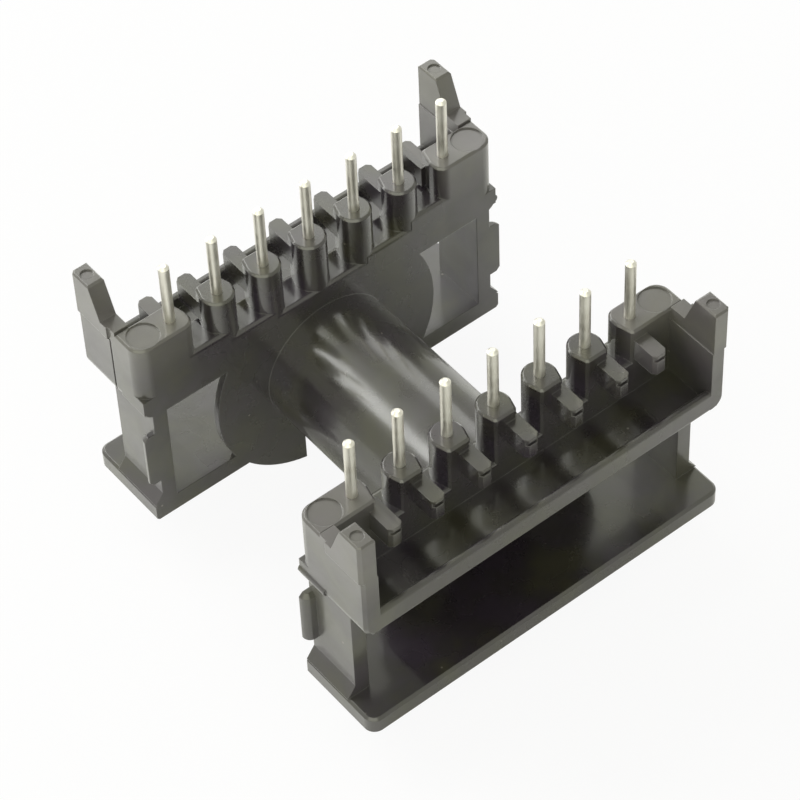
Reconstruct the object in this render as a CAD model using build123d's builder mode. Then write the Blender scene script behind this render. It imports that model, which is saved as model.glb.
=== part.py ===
from build123d import *
import os
from math import sqrt

# Coil former for a transformer with a 34 mm ETD core, lying with its pins up. X is the winding
# axis, Y runs along the two pin rows and Z is up. The origin is on the surface that the former
# stands on, under its middle. The moulding has a head at each end of its tube. Both heads are
# the same, the second one turned half a turn about Z.

# Core
leg_diameter = 11.1
leg_clearance = 0.2
core_depth = 11.1
core_depth_clearance = 0.3
core_width = 35.0
core_width_clearance = 0.15

# Tube and flanges
winding_width = 22.1
tube_wall = 1.0
flange_diameter = 24.8
flange_thickness = 0.7
lobe_gap = 6.4

# Pins
pin_diameter = 1.0
pin_pitch = 5.08
row_spacing = 25.4
pins_per_row = 7
pin_height = 6.85
pin_seat_depth = 4.5
pin_clearance = 0.01
pin_tip_bevel = 0.25

# Posts, and the slots that lead the wires between them
post_height = 7.75
post_radius = 1.6
post_face_reach = 1.7
post_face_width = 2.3
post_corner_bevel = 0.2
post_top_bevel = 0.2
slot_depths = [3.8, 4.9, 5.6, 5.6, 4.9, 3.8]
slot_edge_radius = 0.4

# Pegs that the wires are laid over, in front of the posts
peg_root_depth = 1.0
peg_reach = 17.1
peg_width = 1.5
peg_depth = 2.3
peg_drop = 1.15
peg_shifts = [1.2, 0.7, 0.7, 0.7, 0.7, 0.7, -0.2]
peg_groove_drop = 0.35
peg_groove_depth = 0.25
peg_groove_width = 0.4
peg_corner_bevel = 0.35

# Shelf under the posts, with the wire trough and its lip
shelf_thickness = 1.0
lip_thickness = 0.8
lip_height = 1.4
lip_edge_radius = 0.3
shelf_edge_radius = 0.5

# Walls at the ends of the head, with the ears
end_margin = 4.71
end_reach = 20.0
end_wall_thickness = 1.6
end_corner_radius = 1.4
column_edge_bevel = 0.3
block_corner_radius = 1.4
block_slot_radius = 1.1
block_square_drop = 6.3
block_drop = 8.2
panel_thickness = 0.2
panel_start = 15.3
panel_ledge_drop = 1.2
sill_rise = 0.2
ear_rise = 3.65
ear_thickness = 1.7
ear_root = 16.15
ear_shoulder = 17.45
ear_edge_bevel = 0.15
bar_radius = 0.5
bar_rise = 0.2
bar_length = 3.5
bar_drop = 7.6
crease_width = 0.2
crease_depth = 0.2
mark_depth = 0.15
block_mark_radius = 1.5
block_mark_inset = 1.85
ear_mark_radius = 0.6

# Side walls of the core room, with their ribs
side_wall_thickness = 1.5
side_wall_reach = 16.8
rib_rise = 3.0
rib_length = 6.5
rib_width = 0.9
rib_height = 1.15
rib_side_radius = 0.8
rib_end_bevel = 0.4
flare_height = 1.25

# Plates under the core
plate_thickness = 2.0
plate_reach = 20.15
plate_overhang = 0.1
plate_corner_radius = 1.1
plate_edge_bevel = 0.25

# Heights
flange_radius = flange_diameter / 2
axis_z = sqrt(flange_radius**2 - (lobe_gap / 2) ** 2)
shelf_bottom = axis_z + core_depth / 2 + core_depth_clearance
shelf_top = shelf_bottom + shelf_thickness
lip_top = shelf_top + lip_height
post_top = shelf_top + post_height
ledge_z = post_top - panel_ledge_drop
block_square = post_top - block_square_drop
block_bottom = post_top - block_drop
bar_z = post_top - bar_drop
sill_top = post_top + sill_rise
ear_top = post_top + ear_rise
plate_top = axis_z - core_depth / 2 - core_depth_clearance
plate_bottom = plate_top - plate_thickness
rib_bottom = plate_top + rib_rise

# Radii of the tube
bore_radius = leg_diameter / 2 + leg_clearance
tube_radius = bore_radius + tube_wall

# Places along X, from the middle of the winding space
flange_face = winding_width / 2
flange_back = flange_face + flange_thickness
row_x = row_spacing / 2
post_face = row_x + post_face_reach
peg_root = post_face - peg_root_depth

# Places along Y
pin_places = [pin_pitch * (index - (pins_per_row - 1) / 2) for index in range(pins_per_row)]
end_pin = pin_places[-1]
end_face = end_pin + end_margin
wall_inside = end_face - end_wall_thickness
panel_face = end_face + panel_thickness
ear_inside = panel_face - ear_thickness
room_side = core_width / 2 + core_width_clearance
side_wall_face = room_side + side_wall_thickness
plate_side = end_face + plate_overhang


def box_between(low, high, mode=Mode.ADD):
    """A box between two opposite corners, in the part that is being built."""
    with Locations(tuple((a + b) / 2 for a, b in zip(low, high))):
        Box(*[b - a for a, b in zip(low, high)], mode=mode)


# Pin, standing on its seat at the origin
with BuildPart() as pin:
    with BuildSketch():
        Circle(pin_diameter / 2)
    extrude(amount=pin_seat_depth + pin_height)
    chamfer(pin.edges().group_by(Axis.Z)[-1], pin_tip_bevel)

# Post about the Z axis: round on the winding side, tapering to a flat face over the wire trough
with BuildPart() as post:
    with BuildSketch(Plane.XY.offset(shelf_top)) as post_outline:
        with BuildLine():
            CenterArc((0, 0), post_radius, 0, 360)
            Line((post_face_reach, -post_face_width / 2), (post_face_reach, post_face_width / 2))
        make_hull()
        chamfer(post_outline.vertices().group_by(Axis.X)[-1], post_corner_bevel)
    extrude(amount=post_height)
    chamfer(post.edges().group_by(Axis.Z)[-1], post_top_bevel)

# Block about the last pin of a row, out to the end of the head
with BuildPart() as end_block:
    slot_side = (flange_face, end_pin - post_radius)
    with BuildSketch(Plane.XY.offset(block_bottom)) as block_outline:
        with BuildLine():
            Polyline(
                (flange_face, end_face),
                slot_side,
                (row_x, end_pin - post_radius),
                (post_face, end_pin - post_face_width / 2),
                (post_face, end_face),
                close=True,
            )
        make_face()
        fillet(block_outline.vertices().sort_by_distance(slot_side)[0], block_slot_radius)
        chamfer(block_outline.vertices().group_by(Axis.X)[-1].sort_by(Axis.Y)[0], post_corner_bevel)
        fillet(block_outline.vertices().group_by(Axis.Y)[-1].sort_by(Axis.X)[0], block_corner_radius)
    extrude(amount=post_top - block_bottom)
    chamfer(end_block.edges().group_by(Axis.Z)[-1], post_top_bevel)
    with BuildSketch(Plane.XY.offset(post_top)):
        with Locations((row_x, end_face - block_mark_inset)):
            Circle(block_mark_radius)
    extrude(amount=-mark_depth, mode=Mode.SUBTRACT)

# Peg below the XY plane, out to its reach along X, with a notch under the edge of its free end
with BuildPart() as peg:
    with BuildSketch() as peg_outline:
        with Locations(((peg_root + peg_reach) / 2, 0)):
            Rectangle(peg_reach - peg_root, peg_width)
        chamfer(peg_outline.vertices().group_by(Axis.X)[-1], peg_corner_bevel)
    extrude(amount=-peg_depth)
    with BuildSketch(Plane.XZ):
        with Locations((peg_reach, -peg_groove_drop - peg_groove_width / 2)):
            Rectangle(2 * peg_groove_depth, peg_groove_width)
    extrude(amount=peg_width / 2, both=True, mode=Mode.SUBTRACT)

# Panel at the top of the end wall at +Y, which rises into the ear
with BuildPart() as panel:
    with BuildSketch(Plane.XZ.offset(-ear_inside)):
        with BuildLine():
            Polyline(
                (panel_start, ledge_z),
                (panel_start, sill_top),
                (ear_root, sill_top),
                (ear_shoulder, ear_top),
                (end_reach, ear_top),
                (end_reach, ledge_z),
                close=True,
            )
        make_face()
    extrude(amount=ear_inside - panel_face)
    chamfer(panel.edges().filter_by(Axis.Z).group_by(Axis.X)[-1].sort_by(Axis.Y)[-1], column_edge_bevel)
    chamfer(panel.edges().group_by(Axis.Z)[-1], ear_edge_bevel)
    with BuildSketch(Plane.XY.offset(ear_top)):
        with Locations(((ear_shoulder + end_reach) / 2, (ear_inside + panel_face) / 2)):
            Circle(ear_mark_radius)
    extrude(amount=-mark_depth, mode=Mode.SUBTRACT)

# End wall at +Y, round along its foot and square on the winding side below the block's corner
with BuildPart() as end_wall:
    with BuildSketch(Plane.YZ.offset(flange_face)) as wall_section:
        with Locations(((wall_inside + end_face) / 2, (shelf_bottom + ledge_z) / 2)):
            Rectangle(end_wall_thickness, ledge_z - shelf_bottom)
        fillet(wall_section.vertices().sort_by_distance((end_face, shelf_bottom))[0], end_corner_radius)
    extrude(amount=end_reach - flange_face)
    front = end_wall.faces().group_by(Axis.X)[-1].edges()
    outer_edges = front.filter_by(lambda edge: edge.center().Y > end_face - end_corner_radius / 2)
    chamfer(outer_edges, column_edge_bevel)
    box_between((flange_face, wall_inside, block_square), (row_x, end_face, ledge_z), mode=Mode.SUBTRACT)
    box_between((flange_face, room_side, block_bottom), (row_x, end_face, block_square))
    box_between((post_face, ear_inside, ledge_z), (panel_start, end_face, sill_top))
    add(panel.part)
    # Crease that the joint of the mould leaves under the panel
    crease_inside = end_face - crease_depth
    crease_low = (panel_start, crease_inside, ledge_z - crease_width)
    box_between(crease_low, (end_reach, end_face, ledge_z), mode=Mode.SUBTRACT)

# Side wall of the core room at +Y, with a rib outside and a flare down to the plate
with BuildPart() as side_wall:
    box_between((flange_face, room_side, plate_bottom), (side_wall_reach, side_wall_face, shelf_top))
    with BuildSketch(Plane.XY.offset(rib_bottom)) as rib_outline:
        with Locations((flange_face, side_wall_face)):
            Rectangle(rib_width, rib_height, align=Align.MIN)
        fillet(rib_outline.vertices().group_by(Axis.Y)[-1].sort_by(Axis.X)[-1], rib_side_radius)
    extrude(amount=rib_length)
    rib_ends = side_wall.faces().filter_by(Axis.Z).filter_by(lambda face: face.center().Y > side_wall_face)
    chamfer(rib_ends.edges().group_by(Axis.Y)[-1], rib_end_bevel)
    with BuildSketch(Plane.YZ.offset(flange_face)):
        with BuildLine():
            Polyline(
                (side_wall_face, plate_top),
                (plate_side, plate_top),
                (side_wall_face, plate_top + flare_height),
                close=True,
            )
        make_face()
    extrude(amount=side_wall_reach - flange_face)

# Plate under the core
with BuildPart() as plate:
    with BuildSketch(Plane.XY.offset(plate_bottom)) as plate_outline:
        with Locations(((flange_face + plate_reach) / 2, 0)):
            Rectangle(plate_reach - flange_face, 2 * plate_side)
        fillet(plate_outline.vertices().group_by(Axis.X)[-1], plate_corner_radius)
    extrude(amount=plate_thickness)
    plate_edges = plate.edges().group_by(Axis.Z)[0] + plate.edges().group_by(Axis.Z)[-1]
    chamfer(plate_edges.filter_by(lambda edge: edge.center().X > flange_face), plate_edge_bevel)

# Head at the +X end
with BuildPart() as head:
    # Flange: a disc about the tube, framed by the walls of the core room
    with BuildSketch(Plane.YZ.offset(flange_face)):
        with Locations((0, (plate_bottom + shelf_top) / 2)):
            Rectangle(2 * side_wall_face, shelf_top - plate_bottom)
        with Locations((0, axis_z)):
            Rectangle(2 * room_side, shelf_bottom - plate_top, mode=Mode.SUBTRACT)
            Circle(flange_radius)
        with Locations((0, shelf_top)):
            Rectangle(flange_diameter, flange_radius, align=(Align.CENTER, Align.MIN), mode=Mode.SUBTRACT)
        with Locations((0, plate_bottom)):
            Rectangle(lobe_gap, flange_radius, align=(Align.CENTER, Align.MAX), mode=Mode.SUBTRACT)
    extrude(amount=flange_thickness)
    # Shelf and lip
    with BuildSketch(Plane.XZ) as shelf_profile:
        with BuildLine():
            Polyline(
                (flange_face, shelf_bottom),
                (end_reach, shelf_bottom),
                (end_reach, lip_top),
                (end_reach - lip_thickness, lip_top),
                (end_reach - lip_thickness, shelf_top),
                (flange_face, shelf_top),
                close=True,
            )
        make_face()
        fillet(shelf_profile.vertices().group_by(Axis.Y)[-1], lip_edge_radius)
        fillet(shelf_profile.vertices().sort_by_distance((end_reach, shelf_bottom))[0], shelf_edge_radius)
    extrude(amount=(wall_inside + end_face) / 2, both=True)
    # Floors of the slots, at their own depths below the post tops
    for start, depth in zip(pin_places, slot_depths):
        with BuildSketch(Plane.XZ.offset(-start)) as floor_profile:
            with Locations(((flange_face + post_face) / 2, shelf_top)):
                Rectangle(post_face - flange_face, post_height - depth, align=(Align.CENTER, Align.MIN))
            fillet(floor_profile.vertices().group_by(Axis.Y)[-1], slot_edge_radius)
        extrude(amount=-pin_pitch)
    # Posts, and the block, end wall, side wall and plate at each end
    for place in pin_places[1:-1]:
        add(Pos(row_x, place, 0) * post.part)
    for piece in [end_block, end_wall, side_wall]:
        add(piece.part)
        add(piece.part.mirror(Plane.XZ))
    add(plate.part)
    # Round bar along the foot of the block at -Y
    with Locations((flange_face + bar_length / 2, bar_radius - end_face - bar_rise, bar_z)):
        Cylinder(bar_radius, bar_length, rotation=(0, 90, 0))
    # Creases of the same kind that frame the block at +Y
    for low_x, high_x, high_z in [
        (panel_start - crease_width, panel_start, ledge_z),
        (flange_face, panel_start, block_bottom + crease_width),
    ]:
        box_between((low_x, crease_inside, block_bottom), (high_x, end_face, high_z), mode=Mode.SUBTRACT)
    # Pegs, which stand a little to one side of their posts
    for place, shift in zip(pin_places, peg_shifts):
        add(Pos(0, place + shift, post_top - peg_drop) * peg.part)

# Moulding: the tube between the two heads, with its bore and the holes for the pins
with BuildPart() as coil_former:
    add(head.part)
    add(head.part.rotate(Axis.Z, 180))
    with Locations((0, 0, axis_z)):
        Cylinder(tube_radius, winding_width, rotation=(0, 90, 0))
        Cylinder(bore_radius, 2 * flange_back, rotation=(0, 90, 0), mode=Mode.SUBTRACT)
    with Locations((0, 0, post_top)):
        with GridLocations(row_spacing, pin_pitch, 2, pins_per_row):
            Hole(pin_diameter / 2 + pin_clearance, pin_seat_depth)

coil_former.part.label = "coil_former"

os.makedirs("parts", exist_ok=True)
export_step(coil_former.part, "parts/coil_former.step")
for index, (side, place) in enumerate([(side, place) for side in (1, -1) for place in pin_places]):
    name = f"pin_{index + 1:02d}"
    seated = Pos(side * row_x, side * place, post_top - pin_seat_depth) * pin.part
    seated.label = name
    export_step(seated, f"parts/{name}.step")
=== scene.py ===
from math import cos, radians, sin

import bpy
from mathutils import Matrix, Vector

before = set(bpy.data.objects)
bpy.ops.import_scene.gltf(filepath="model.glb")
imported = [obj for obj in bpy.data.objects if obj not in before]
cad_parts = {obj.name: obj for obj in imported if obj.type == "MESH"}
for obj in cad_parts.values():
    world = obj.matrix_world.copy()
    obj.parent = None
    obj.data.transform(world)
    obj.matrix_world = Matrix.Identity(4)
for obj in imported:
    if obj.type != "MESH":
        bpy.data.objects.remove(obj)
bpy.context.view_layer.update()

MM = 0.001


def hex_colour(code):
    """An sRGB hex code as the linear colour that shaders take."""
    parts = [int(code[i : i + 2], 16) / 255 for i in (1, 3, 5)]
    return tuple(c / 12.92 if c <= 0.04045 else ((c + 0.055) / 1.055) ** 2.4 for c in parts) + (1.0,)


def node(tree, kind, links=(), stops=(), **settings):
    """Adds a shader node. Links are (input, from node, output), and stops are the (place, colour)
    pairs of a colour ramp. Settings name the node's properties, or else its inputs, with _ for
    each space."""
    made = tree.nodes.new(kind)
    for key, value in settings.items():
        if hasattr(made, key):
            setattr(made, key, value)
        else:
            made.inputs[key.replace("_", " ")].default_value = value
    for index, (place, colour) in enumerate(stops):
        band = made.color_ramp.elements
        element = band[index] if index < len(band) else band.new(place)
        element.position = place
        element.color = hex_colour(colour)
    for socket, source, output in links:
        tree.links.new(source.outputs[output], made.inputs[socket])
    return made


def material(name):
    """An empty node material and its tree."""
    made = bpy.data.materials.new(name)
    made.use_nodes = True
    made.node_tree.nodes.clear()
    return made, made.node_tree


# Where the end blocks begin, outside the last slots between the posts
BLOCK_START = 13.7 * MM
# How wide the change is from the polished skin to the eroded one
ERODED_EDGE = 0.4 * MM
# How much rougher the spark-eroded end blocks are than the polished rest. It is also the largest
# share of the painted sheen's light grey on their tops.
ERODED_ROUGHNESS = 0.2
# The height of the tops of the posts and end blocks, and how far down from it the end blocks
# are painted lighter grey: painted sheen for the light their tops catch
POST_TOP = 26.6 * MM
PAINTED_SHEEN_DEPTH = 5.0 * MM
# Sizes of the patterns in the moulding's skin. The pressed grain is some 0.02 mm in truth, and
# is drawn ten times as coarse so that it shows.
FLOW_SIZE = 5.0 * MM
SMEAR_SIZE = 3.3 * MM
GRAIN_SIZE = 0.2 * MM
GRAIN_HEIGHT = 0.03 * MM
WAVE_SIZE = 4.2 * MM
WAVE_HEIGHT = 0.06 * MM
DUST_SPACING = 3.8 * MM
# A speck of dust is solid out to the first of these shares of the spacing, and ends at the second
SPECK_CORE = 0.02
SPECK_END = 0.035
# The rounding that pressing leaves on every edge
EDGE_RADIUS = 0.1 * MM
# Refraction of the glass-filled resin
PHENOLIC_IOR = 1.65
# Sizes of the patterns in the tin of the pins
PATCH_SIZE = 1.4 * MM
RUN_WIDTH = 0.55 * MM
RUN_LENGTH = 5.0 * MM
RUN_HEIGHT = 0.02 * MM
# The fibres of the paper, drawn coarser than they are
FIBRE_SIZE = 1.1 * MM


# Moulding: black phenolic, glass-filled, pressed in a polished steel tool. The skin is glossy
# resin, so it mirrors bright things, a little blurred by fine wear. The compound is not a
# neutral black: it clouds between olive-brown and violet-brown over some 5 mm, as its flow left
# it. The end blocks came from spark-eroded steel: they are duller and haze the light that grazes
# them. Their colour is painted a lighter grey towards their tops, a painted sheen for the light
# the tops catch. Handling leaves smears, and dust lies on it.
def moulded_phenolic():
    made, tree = material("moulded_black_phenolic")
    place = node(tree, "ShaderNodeTexCoord")
    apart = node(tree, "ShaderNodeSeparateXYZ", [("Vector", place, "Object")])
    aside = node(tree, "ShaderNodeMath", [(0, apart, "Y")], operation="ABSOLUTE")
    eroded = node(
        tree,
        "ShaderNodeMapRange",
        [("Value", aside, "Value")],
        From_Min=BLOCK_START,
        From_Max=BLOCK_START + ERODED_EDGE,
        To_Max=ERODED_ROUGHNESS,
    )
    flow = node(
        tree,
        "ShaderNodeTexNoise",
        [("Vector", place, "Object")],
        Scale=1 / FLOW_SIZE,
        Detail=3.0,
        Roughness=0.5,
    )
    smear = node(
        tree,
        "ShaderNodeTexNoise",
        [("Vector", place, "Object")],
        Scale=1 / SMEAR_SIZE,
        Detail=4.0,
        Distortion=0.3,
    )
    grain = node(tree, "ShaderNodeTexNoise", [("Vector", place, "Object")], Scale=1 / GRAIN_SIZE, Detail=2.0)
    wave = node(tree, "ShaderNodeTexNoise", [("Vector", place, "Object")], Scale=1 / WAVE_SIZE, Detail=2.0)
    clouds = node(
        tree,
        "ShaderNodeValToRGB",
        [("Fac", flow, "Fac")],
        stops=[(0.36, "#37303a"), (0.5, "#332f31"), (0.66, "#3c3a2e")],
    )
    dust = node(tree, "ShaderNodeTexVoronoi", [("Vector", place, "Object")], Scale=1 / DUST_SPACING)
    specks = node(
        tree,
        "ShaderNodeMapRange",
        [("Value", dust, "Distance")],
        From_Min=SPECK_END,
        From_Max=SPECK_CORE,
        To_Max=0.35,
    )
    # Painted sheen: on the end blocks the colour is mixed towards light grey up to their tops, for the light
    # the tops catch
    painted_sheen_mask = node(
        tree,
        "ShaderNodeMapRange",
        [("Value", apart, "Z"), ("To Max", eroded, "Result")],
        From_Min=POST_TOP - PAINTED_SHEEN_DEPTH,
        From_Max=POST_TOP,
    )
    painted_sheen_colour = node(
        tree,
        "ShaderNodeMixRGB",
        [("Fac", painted_sheen_mask, "Result"), ("Color1", clouds, "Color")],
        Color2=hex_colour("#aeaaa6"),
    )
    colour = node(
        tree,
        "ShaderNodeMixRGB",
        [("Fac", specks, "Result"), ("Color1", painted_sheen_colour, "Color")],
        Color2=hex_colour("#b9b2a8"),
    )
    skin = node(
        tree,
        "ShaderNodeMapRange",
        [("Value", smear, "Fac")],
        From_Min=0.35,
        From_Max=0.7,
        To_Min=0.22,
        To_Max=0.36,
    )
    rough = node(tree, "ShaderNodeMath", [(0, skin, "Result"), (1, eroded, "Result")], operation="ADD")
    fine = node(tree, "ShaderNodeBump", [("Height", grain, "Fac")], Strength=0.08, Distance=GRAIN_HEIGHT)
    broad = node(
        tree,
        "ShaderNodeBump",
        [("Height", wave, "Fac"), ("Normal", fine, "Normal")],
        Strength=0.25,
        Distance=WAVE_HEIGHT,
    )
    soft = node(tree, "ShaderNodeBevel", [("Normal", broad, "Normal")], samples=6, Radius=EDGE_RADIUS)
    haze = node(
        tree,
        "ShaderNodeMapRange",
        [("Value", eroded, "Result")],
        From_Max=ERODED_ROUGHNESS,
        To_Min=0.05,
        To_Max=0.5,
    )
    shader = node(
        tree,
        "ShaderNodeBsdfPrincipled",
        [
            ("Base Color", colour, "Color"),
            ("Roughness", rough, "Value"),
            ("Normal", soft, "Normal"),
            ("Coat Normal", soft, "Normal"),
            ("Sheen Weight", haze, "Result"),
        ],
        IOR=PHENOLIC_IOR,
        Specular_Tint=hex_colour("#f4f7ea"),
        Coat_Weight=1.0,
        Coat_Roughness=0.14,
        Coat_IOR=PHENOLIC_IOR,
        Sheen_Roughness=0.3,
    )
    node(tree, "ShaderNodeOutputMaterial", [("Surface", shader, "BSDF")])
    return made


# Pins: copper-clad steel wire, hot-dip tinned. The tin is a bright, slightly warm metal that
# flowed smooth before it set, in faint runs along the wire, with soft dull patches where it
# cooled.
def tinned_wire():
    made, tree = material("hot_dip_tinned_wire")
    place = node(tree, "ShaderNodeTexCoord")
    patch = node(tree, "ShaderNodeTexNoise", [("Vector", place, "Object")], Scale=1 / PATCH_SIZE, Detail=2.0)
    runs = node(
        tree,
        "ShaderNodeMapping",
        [("Vector", place, "Object")],
        Scale=(1 / RUN_WIDTH, 1 / RUN_WIDTH, 1 / RUN_LENGTH),
    )
    flowed = node(tree, "ShaderNodeTexNoise", [("Vector", runs, "Vector")], Scale=1.0, Detail=1.0)
    colour = node(
        tree,
        "ShaderNodeValToRGB",
        [("Fac", patch, "Fac")],
        stops=[(0.35, "#f1eee4"), (0.6, "#f8f6ee"), (0.8, "#fdfbf6")],
    )
    rough = node(
        tree,
        "ShaderNodeMapRange",
        [("Value", patch, "Fac")],
        From_Min=0.3,
        From_Max=0.7,
        To_Min=0.36,
        To_Max=0.5,
    )
    relief = node(tree, "ShaderNodeBump", [("Height", flowed, "Fac")], Strength=0.03, Distance=RUN_HEIGHT)
    shader = node(
        tree,
        "ShaderNodeBsdfPrincipled",
        [("Base Color", colour, "Color"), ("Roughness", rough, "Result"), ("Normal", relief, "Normal")],
        Metallic=1.0,
    )
    node(tree, "ShaderNodeOutputMaterial", [("Surface", shader, "BSDF")])
    return made


phenolic = moulded_phenolic()
tin = tinned_wire()
for name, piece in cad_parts.items():
    piece.data.materials.clear()
    piece.data.materials.append(tin if name.startswith("pin") else phenolic)

FLOOR_SIZE = 6.0
# How much of the floor the camera sees as plain white. The rest is the paper with its shadows.
FLOOR_WHITE = 0.92


# Floor: a sheet of white paper. The camera sees it nearly white, with part of the object's
# shadow, and glossy surfaces see the paper itself, lit and shadowed.
def white_floor():
    made, tree = material("white_paper")
    place = node(tree, "ShaderNodeTexCoord")
    fibre = node(tree, "ShaderNodeTexNoise", [("Vector", place, "Object")], Scale=1 / FIBRE_SIZE, Detail=3.0)
    colour = node(
        tree,
        "ShaderNodeValToRGB",
        [("Fac", fibre, "Fac")],
        stops=[(0.3, "#fbfbfb"), (0.7, "#ffffff")],
    )
    paper = node(tree, "ShaderNodeBsdfPrincipled", [("Base Color", colour, "Color")], Roughness=0.9)
    glow = node(tree, "ShaderNodeEmission", Color=hex_colour("#ffffff"), Strength=1.0)
    path = node(tree, "ShaderNodeLightPath")
    share = node(tree, "ShaderNodeMapRange", [("Value", path, "Is Camera Ray")], To_Max=FLOOR_WHITE)
    mixed = node(
        tree,
        "ShaderNodeMixShader",
        [("Fac", share, "Result"), (1, paper, "BSDF"), (2, glow, "Emission")],
    )
    node(tree, "ShaderNodeOutputMaterial", [("Surface", mixed, "Shader")])
    return made


bpy.ops.object.select_all(action="DESELECT")
bpy.ops.mesh.primitive_plane_add(size=FLOOR_SIZE, location=(0, 0, 0))
floor = bpy.context.object
floor.name = "floor"
floor.data.materials.append(white_floor())

# World: the pale walls of the tent around the object. Their light on it is plain, the camera
# sees them as white, and glossy surfaces mirror them a little darker.
TENT_LIGHT = 0.36
TENT_MIRRORED = 0.7
TENT_SEEN = 1.0

world = bpy.data.worlds.new("tent")
world.use_nodes = True
bpy.context.scene.world = world
tent = world.node_tree
tent.nodes.clear()
seen = node(tent, "ShaderNodeLightPath")
mirrored = node(
    tent,
    "ShaderNodeMapRange",
    [("Value", seen, "Is Glossy Ray")],
    To_Min=TENT_LIGHT,
    To_Max=TENT_MIRRORED,
)
level = node(
    tent,
    "ShaderNodeMapRange",
    [("Value", seen, "Is Camera Ray"), ("To Min", mirrored, "Result")],
    To_Max=TENT_SEEN,
)
walls = node(tent, "ShaderNodeBackground", [("Strength", level, "Result")], Color=hex_colour("#f5f5e8"))
node(tent, "ShaderNodeOutputWorld", [("Surface", walls, "Background")])

# The middle of the object, which the softboxes look at
OBJECT_MIDDLE = Vector((0, 0, 15)) * MM


def softbox(name, azimuth, elevation, distance, width, height, power, colour="#ffffff"):
    """A rectangular lamp that looks at the object from an azimuth and an elevation in degrees."""
    lamp = bpy.data.lights.new(name, "AREA")
    lamp.shape = "RECTANGLE"
    lamp.size = width
    lamp.size_y = height
    lamp.energy = power
    lamp.color = hex_colour(colour)[:3]
    made = bpy.data.objects.new(name, lamp)
    bpy.context.scene.collection.objects.link(made)
    around = radians(azimuth)
    rise = radians(elevation)
    way = Vector((cos(rise) * cos(around), cos(rise) * sin(around), sin(rise)))
    made.location = OBJECT_MIDDLE + distance * way
    made.rotation_euler = way.to_track_quat("Z", "Y").to_euler()


softbox("back_softbox", azimuth=150, elevation=37, distance=0.9, width=0.7, height=0.35, power=1.1)
softbox("left_softbox", azimuth=-162, elevation=36, distance=0.8, width=0.7, height=0.5, power=4.4)
softbox(
    "front_softbox",
    azimuth=-52,
    elevation=32,
    distance=0.9,
    width=1.2,
    height=0.8,
    power=3.4,
    colour="#f8f9e6",
)

# Camera: the photograph's view, found by fitting the pins, posts, ears and plates to it
CAMERA_AZIMUTH = -0.6402629728
CAMERA_ELEVATION = 0.8672350167
CAMERA_ROLL = -0.0497740797
CAMERA_PLACE = Vector((163.577, -122.196, 256.264)) * MM
FOCAL_PIXELS = 3565.0
PICTURE_PIXELS = 800.0
SENSOR_WIDTH = 36.0

back = Vector(
    (
        cos(CAMERA_ELEVATION) * cos(CAMERA_AZIMUTH),
        cos(CAMERA_ELEVATION) * sin(CAMERA_AZIMUTH),
        sin(CAMERA_ELEVATION),
    )
)
flat = Vector((0, 0, 1)).cross(back).normalized()
upright = back.cross(flat)
right = cos(CAMERA_ROLL) * flat + sin(CAMERA_ROLL) * upright
up = -sin(CAMERA_ROLL) * flat + cos(CAMERA_ROLL) * upright
camera = bpy.data.objects.new("camera", bpy.data.cameras.new("camera"))
bpy.context.scene.collection.objects.link(camera)
camera.data.sensor_width = SENSOR_WIDTH
camera.data.lens = SENSOR_WIDTH * FOCAL_PIXELS / PICTURE_PIXELS
camera.data.clip_start = 10 * MM
camera.matrix_world = Matrix.Translation(CAMERA_PLACE) @ Matrix((right, up, back)).transposed().to_4x4()
bpy.context.scene.camera = camera
bpy.context.scene.view_settings.view_transform = "Standard"
